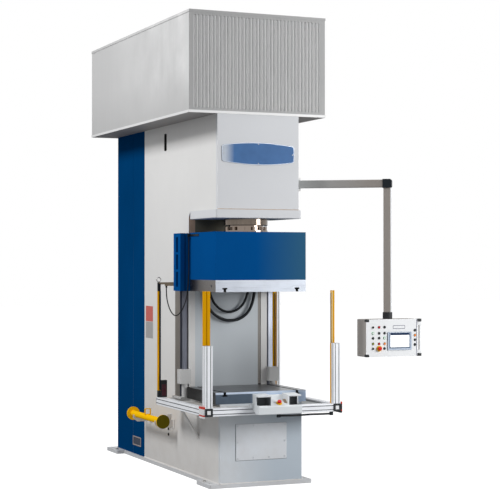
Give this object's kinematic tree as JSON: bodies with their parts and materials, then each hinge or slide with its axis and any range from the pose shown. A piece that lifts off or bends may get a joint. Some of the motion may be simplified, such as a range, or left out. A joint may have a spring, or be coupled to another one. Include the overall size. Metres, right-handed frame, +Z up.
{
  "type": "hydraulic C-frame press",
  "caption": "Hydraulic C-frame press with a guided ram over a slotted bed, a guard with light curtains, a swing-arm operator panel and an enclosed power unit on the head.",
  "frame": {"origin": "on the floor, straight below the ram's axis", "axes": "+X to the operator's right, +Y into the machine, +Z up"},
  "size_m": [2.422, 3.855, 4.813],
  "materials": {
    "frame_paint": "semi-gloss warm light grey paint",
    "bed_paint": "semi-gloss bluish grey paint",
    "ram_paint": "semi-gloss blue paint",
    "cabinet_paint": "semi-gloss navy paint",
    "galvanised": "zinc-coated sheet",
    "machined_steel": "ground and oiled steel",
    "chrome_rod": "ground hard chrome",
    "dark_steel": "turned and darkened steel",
    "zinc": "zinc-plated",
    "profile": "anodised extrusion",
    "safety_yellow": "gloss yellow paint",
    "black_plastic": "moulded",
    "stop_red": "moulded",
    "button_light": "moulded",
    "arm_paint": "fine-textured grey-brown paint",
    "panel_white": "matt white paint",
    "hose_rubber": "smooth hose cover",
    "cable_sheath": "matt sheath"
  },
  "bodies": {
    "frame": {"base_plate": "frame_paint", "levelling_screws": "zinc", "side_plate_left": "frame_paint", "side_plate_right": "frame_paint", "head_front_plate": "frame_paint", "head_bottom_plate": "frame_paint", "frame_top_plate": "frame_paint", "throat_panel": "frame_paint", "bed_front_plate": "bed_paint", "access_cover": "bed_paint", "bed_plate": "machined_steel", "cylinder_barrel": "dark_steel", "cylinder_gland": "dark_steel", "guide_rail_left": "machined_steel", "guide_rail_right": "machined_steel", "guide_stops": "ram_paint", "rear_cabinet": "cabinet_paint", "enclosure_tray": "galvanised", "enclosure_front": "galvanised", "enclosure_walls": "galvanised", "enclosure_roof": "galvanised", "oil_tank": "cabinet_paint", "drive_motor": "ram_paint", "valve_block": "dark_steel", "guard_front_rail": "profile", "guard_side_rails": "profile", "guard_posts": "profile", "guard_brackets": "frame_paint", "sill_sheet": "galvanised", "guard_trim": "black_plastic", "light_curtains": "safety_yellow", "curtain_stay": "zinc", "interlock_boxes": "black_plastic", "safety_prop": "safety_yellow", "prop_holders": "frame_paint", "console_housing": "frame_paint", "arm_bracket": "frame_paint", "cable_glands": "black_plastic", "hose_outer": "hose_rubber", "hose_inner": "hose_rubber", "sensor_cable": "cable_sheath", "console_cable": "cable_sheath"},
    "ram": {"ram_box": "ram_paint", "ram_plate": "machined_steel", "piston_rod": "chrome_rod", "guide_shoes": "ram_paint"},
    "arm": {"swing_arm": "arm_paint", "arm_elbow": "black_plastic"},
    "panel": {"panel_housing": "arm_paint", "panel_front": "panel_white", "panel_screen": "black_plastic", "panel_handle": "panel_white"},
    "palm_left": {"palm_button_left": "black_plastic"},
    "palm_right": {"palm_button_right": "black_plastic"},
    "console_stop": {"console_stop_button": "stop_red"},
    "panel_stop": {"panel_stop_button": "stop_red"},
    "start": {"start_button": "button_light"},
    "return": {"return_button": "button_light"},
    "selector": {"panel_selector": "black_plastic"},
    "key": {"panel_key_switch": "black_plastic"}
  },
  "joints": [
    {"name": "ram_slide", "type": "slide", "parent": "frame", "child": "ram", "axis": [0, 0, -1], "range_m": [0, 0.7], "deforming": ["hose_outer", "hose_inner", "sensor_cable"]},
    {"name": "arm_swing", "type": "hinge", "parent": "frame", "child": "arm", "pos_m": [0.53, -0.1, 3.087], "axis": [0, 0, 1], "range_deg": [-15, 75]},
    {"name": "panel_swivel", "type": "hinge", "parent": "arm", "child": "panel", "pos_m": [1.315, -0.655, 1.755], "axis": [0, 0, 1], "range_deg": [-90, 90]},
    {"name": "palm_left_press", "type": "slide", "parent": "frame", "child": "palm_left", "axis": [0, 0, -1], "range_m": [0, 0.006], "stiffness_N_per_m": 1500, "springref_m": -0.004},
    {"name": "palm_right_press", "type": "slide", "parent": "frame", "child": "palm_right", "axis": [0, 0, -1], "range_m": [0, 0.006], "stiffness_N_per_m": 1500, "springref_m": -0.004},
    {"name": "console_stop_press", "type": "slide", "parent": "frame", "child": "console_stop", "axis": [0, 0.5282, -0.8491], "range_m": [0, 0.005]},
    {"name": "panel_stop_press", "type": "slide", "parent": "panel", "child": "panel_stop", "axis": [0, 1, 0], "range_m": [0, 0.005]},
    {"name": "start_press", "type": "slide", "parent": "panel", "child": "start", "axis": [0, 1, 0], "range_m": [0, 0.004], "stiffness_N_per_m": 400, "springref_m": -0.003},
    {"name": "return_press", "type": "slide", "parent": "panel", "child": "return", "axis": [0, 1, 0], "range_m": [0, 0.004], "stiffness_N_per_m": 400, "springref_m": -0.003},
    {"name": "selector_turn", "type": "hinge", "parent": "panel", "child": "selector", "pos_m": [1.093, -0.755, 1.3855], "axis": [0, 1, 0], "range_deg": [-45, 45]},
    {"name": "key_turn", "type": "hinge", "parent": "panel", "child": "key", "pos_m": [1.093, -0.755, 1.6035], "axis": [0, 1, 0], "range_deg": [-45, 45]}
  ]
}
